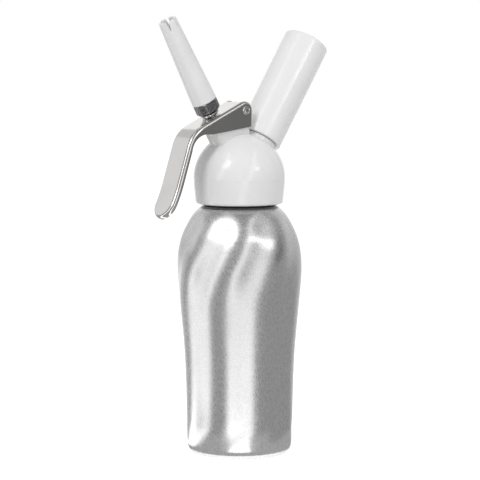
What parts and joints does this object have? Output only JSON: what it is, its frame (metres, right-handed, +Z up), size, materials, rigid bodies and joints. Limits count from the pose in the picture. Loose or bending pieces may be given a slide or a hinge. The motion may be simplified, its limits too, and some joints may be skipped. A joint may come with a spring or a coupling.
{
  "type": "whipped cream dispenser",
  "caption": "Fluted aluminium cream whipper: white screw-on head with squeeze lever, serrated piping nozzle and gas charger holder.",
  "frame": {"origin": "centre of the bottle's foot ring, on the surface it stands on", "axes": "+Z up along the bottle's axis, -X towards the nozzle and the lever, +X towards the charger holder, XZ the plane of symmetry"},
  "size_m": [0.1303, 0.0816, 0.2827],
  "materials": {
    "bottle_metal": "brushed along the flutes, satin",
    "head_plastic": "gloss white moulding",
    "holder_plastic": "gloss white moulding",
    "nozzle_plastic": "satin white moulding",
    "lever_steel": "polished stainless sheet",
    "collar_steel": "knurled dark polished steel",
    "valve_steel": "turned stainless",
    "fitting_brass": "turned, plated where it shows",
    "inner_aluminium": "turned aluminium",
    "seal_rubber": "soft food grade silicone",
    "black_rubber": "soft black rubber",
    "charger_steel": "bright zinc plated capsule"
  },
  "bodies": {
    "bottle": {"bottle": "bottle_metal"},
    "gasket": {"head_gasket": "seal_rubber"},
    "head": {"head_shell": "head_plastic", "valve_bush": "fitting_brass", "stem_oring": "black_rubber", "return_spring": "valve_steel", "inlet_body": "fitting_brass", "inlet_gasket": "black_rubber", "inlet_nut": "fitting_brass", "piercing_pin": "valve_steel", "charger_seal": "black_rubber", "poppet_spring": "valve_steel", "poppet_retainer": "fitting_brass"},
    "lever": {"lever": "lever_steel", "lever_pin": "lever_steel", "pin_retainer": "lever_steel"},
    "valve": {"valve_stem": "valve_steel", "valve_seal": "black_rubber", "seal_washer": "valve_steel", "seal_nut": "valve_steel", "stem_nut": "lever_steel"},
    "nozzle_seal": {"nozzle_seal": "seal_rubber"},
    "nozzle": {"nozzle_collar": "collar_steel", "nozzle_tip": "nozzle_plastic"},
    "poppet": {"inlet_poppet": "black_rubber"},
    "charger": {"charger": "charger_steel", "holder_cushion": "black_rubber"},
    "holder": {"holder_insert": "inner_aluminium", "charger_holder": "holder_plastic"}
  },
  "joints": [
    {"name": "gasket_lift", "type": "slide", "parent": "bottle", "child": "gasket", "axis": [0, 0, 1], "range_m": [0, 0.009]},
    {"name": "head_unscrew", "type": "hinge", "parent": "gasket", "child": "head", "pos_m": [0, 0, 0.17], "axis": [0, 0, 1], "range_deg": [0, 1080.1]},
    {"name": "lever_squeeze", "type": "hinge", "parent": "head", "child": "lever", "pos_m": [-0.0019, 0, 0.223], "axis": [0, -1, 0], "range_deg": [0, 7], "stiffness_Nm_per_rad": 4, "springref_deg": -5.73, "deforming": ["return_spring"]},
    {"name": "valve_stroke", "type": "slide", "parent": "head", "child": "valve", "axis": [0.4848, 0, -0.8746], "range_m": [0, 0.00242]},
    {"name": "nozzle_lift", "type": "slide", "parent": "valve", "child": "nozzle_seal", "axis": [-0.4848, 0, 0.8746], "range_m": [0, 0.004]},
    {"name": "nozzle_unscrew", "type": "hinge", "parent": "nozzle_seal", "child": "nozzle", "pos_m": [-0.02424, 0, 0.22273], "axis": [-0.4848, 0, 0.8746], "range_deg": [0, 1440.1]},
    {"name": "charger_lift", "type": "slide", "parent": "head", "child": "charger", "axis": [0.5284, 0, 0.849], "range_m": [0, 0.0075]},
    {"name": "holder_unscrew", "type": "hinge", "parent": "charger", "child": "holder", "pos_m": [0.02114, 0, 0.21296], "axis": [0.5284, 0, 0.849], "range_deg": [0, 1800.1]},
    {"name": "poppet_open", "type": "slide", "parent": "head", "child": "poppet", "axis": [-0.5284, 0, -0.849], "range_m": [0, 0.0008], "stiffness_N_per_m": 150, "springref_m": -0.001, "deforming": ["poppet_spring"]}
  ],
  "couplings": [
    {"joint": "head_unscrew", "follows": "gasket_lift", "rad_per_m": 2094.4},
    {"joint": "valve_stroke", "follows": "lever_squeeze", "m_per_rad": 0.01967},
    {"joint": "nozzle_unscrew", "follows": "nozzle_lift", "rad_per_m": 6283.2},
    {"joint": "holder_unscrew", "follows": "charger_lift", "rad_per_m": 4188.8}
  ]
}
